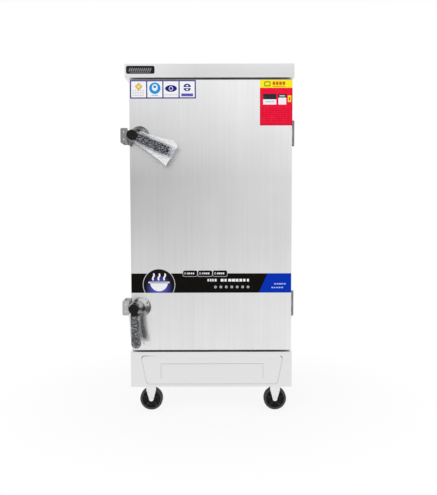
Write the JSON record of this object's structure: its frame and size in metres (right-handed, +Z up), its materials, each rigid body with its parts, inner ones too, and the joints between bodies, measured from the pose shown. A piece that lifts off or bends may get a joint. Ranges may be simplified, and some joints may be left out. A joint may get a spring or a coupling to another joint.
{
  "type": "rice noodle roll steamer",
  "caption": "Tall insulated stainless steam cabinet on castors, with one door, lever latches, a water tank and a rack of sliding trays.",
  "frame": {"origin": "on the floor, under the middle of the whole outline", "axes": "+X to the right seen from the front, +Y to the back, +Z up"},
  "size_m": [0.7415, 0.765, 1.508],
  "materials": {
    "brushed_stainless": "brushed, satin",
    "chamber_stainless": "mill finish",
    "tray_stainless": "bright rolled",
    "zinc_steel": "bright zinc plate",
    "chrome_plate": "plated die casting",
    "dark_steel": "blackened",
    "black_plastic": "semi-gloss moulded",
    "wheel_plastic": "satin",
    "clear_film": "thin clear film",
    "mineral_wool": "fibre blanket",
    "seal_silicone": "satin silicone",
    "brass": "machined",
    "ceramic": "matt ceramic",
    "float_plastic": "moulded",
    "red_vinyl": "dipped vinyl"
  },
  "bodies": {
    "cabinet": {"base_frame": "brushed_stainless", "base_front_panel": "brushed_stainless", "cabinet_shell": "brushed_stainless", "cabinet_insulation": "mineral_wool", "cabinet_liner": "chamber_stainless", "front_frame": "brushed_stainless", "top_cap": "brushed_stainless", "tray_rack_left": "chamber_stainless", "tray_rack_right": "chamber_stainless", "steam_plate": "chamber_stainless", "steam_trays": "tray_stainless", "heating_element": "chamber_stainless", "terminal_box": "brushed_stainless", "terminal_cover": "brushed_stainless", "terminal_block": "ceramic", "cable_gland": "black_plastic", "float_box": "brushed_stainless", "float_box_lid": "brushed_stainless", "float_valve": "brass", "feed_pipe": "chamber_stainless", "drain_pipe": "chamber_stainless", "drain_valve": "brass", "steam_vent": "chamber_stainless", "upper_hinge_frame_leaf": "brushed_stainless", "lower_hinge_frame_leaf": "brushed_stainless", "upper_keeper": "chrome_plate", "lower_keeper": "chrome_plate", "front_left_castor_fork": "zinc_steel", "front_right_castor_fork": "zinc_steel", "front_left_axle": "zinc_steel", "front_right_axle": "zinc_steel", "rear_left_castor_plate": "zinc_steel", "rear_right_castor_plate": "zinc_steel"},
    "door": {"door_outer_skin": "brushed_stainless", "door_insulation": "mineral_wool", "door_inner_skin": "chamber_stainless", "door_gasket": "seal_silicone", "upper_hinge_door_leaf": "brushed_stainless", "lower_hinge_door_leaf": "brushed_stainless", "upper_latch_housing": "chrome_plate", "lower_latch_housing": "chrome_plate"},
    "upper_latch": {"upper_lever": "black_plastic", "upper_spindle": "dark_steel", "upper_lever_sleeve": "clear_film"},
    "lower_latch": {"lower_lever": "black_plastic", "lower_spindle": "dark_steel", "lower_lever_sleeve": "clear_film"},
    "front_left_roller": {"front_left_wheel": "wheel_plastic"},
    "front_right_roller": {"front_right_wheel": "wheel_plastic"},
    "rear_left_swivel": {"rear_left_fork": "zinc_steel", "rear_left_axle": "zinc_steel"},
    "rear_right_swivel": {"rear_right_fork": "zinc_steel", "rear_right_axle": "zinc_steel"},
    "rear_left_roller": {"rear_left_wheel": "wheel_plastic"},
    "rear_right_roller": {"rear_right_wheel": "wheel_plastic"},
    "rear_left_brake_lever": {"rear_left_brake": "zinc_steel"},
    "rear_right_brake_lever": {"rear_right_brake": "zinc_steel"},
    "float": {"float_arm": "float_plastic"},
    "drain_handle": {"drain_lever": "red_vinyl"}
  },
  "joints": [
    {"name": "door_swing", "type": "hinge", "parent": "cabinet", "child": "door", "pos_m": [0.36525, -0.2721, 0.8625], "axis": [0, 0, 1], "range_deg": [0, 180]},
    {"name": "upper_latch_turn", "type": "hinge", "parent": "door", "child": "upper_latch", "pos_m": [-0.31875, -0.3811, 1.205], "axis": [0, -1, 0], "range_deg": [-65.8, 24.2]},
    {"name": "lower_latch_turn", "type": "hinge", "parent": "door", "child": "lower_latch", "pos_m": [-0.31875, -0.3811, 0.472], "axis": [0, -1, 0], "range_deg": [-3.4, 86.6]},
    {"name": "front_left_wheel_spin", "type": "hinge", "parent": "cabinet", "child": "front_left_roller", "pos_m": [-0.25875, -0.2431, 0.05], "axis": [0, 1, 0], "continuous": true},
    {"name": "front_right_wheel_spin", "type": "hinge", "parent": "cabinet", "child": "front_right_roller", "pos_m": [0.29225, -0.2431, 0.05], "axis": [0, 1, 0], "continuous": true},
    {"name": "rear_left_castor_swivel", "type": "hinge", "parent": "cabinet", "child": "rear_left_swivel", "pos_m": [-0.25875, 0.2069, 0.1], "axis": [0, 0, 1], "continuous": true},
    {"name": "rear_left_wheel_spin", "type": "hinge", "parent": "rear_left_swivel", "child": "rear_left_roller", "pos_m": [-0.25875, 0.2389, 0.05], "axis": [1, 0, 0], "continuous": true},
    {"name": "rear_left_brake_press", "type": "hinge", "parent": "rear_left_swivel", "child": "rear_left_brake_lever", "pos_m": [-0.25875, 0.2609, 0.107], "axis": [-1, 0, 0], "range_deg": [0, 5]},
    {"name": "rear_right_castor_swivel", "type": "hinge", "parent": "cabinet", "child": "rear_right_swivel", "pos_m": [0.29225, 0.2069, 0.1], "axis": [0, 0, 1], "continuous": true},
    {"name": "rear_right_wheel_spin", "type": "hinge", "parent": "rear_right_swivel", "child": "rear_right_roller", "pos_m": [0.29225, 0.2389, 0.05], "axis": [1, 0, 0], "continuous": true},
    {"name": "rear_right_brake_press", "type": "hinge", "parent": "rear_right_swivel", "child": "rear_right_brake_lever", "pos_m": [0.29225, 0.2609, 0.107], "axis": [-1, 0, 0], "range_deg": [0, 5]},
    {"name": "float_lift", "type": "hinge", "parent": "cabinet", "child": "float", "pos_m": [-0.27075, 0.3319, 0.405], "axis": [0, -1, 0], "range_deg": [0, 25]},
    {"name": "drain_handle_turn", "type": "hinge", "parent": "cabinet", "child": "drain_handle", "pos_m": [-0.05075, 0.3239, 0.192], "axis": [0, 0, 1], "range_deg": [0, 90]}
  ]
}
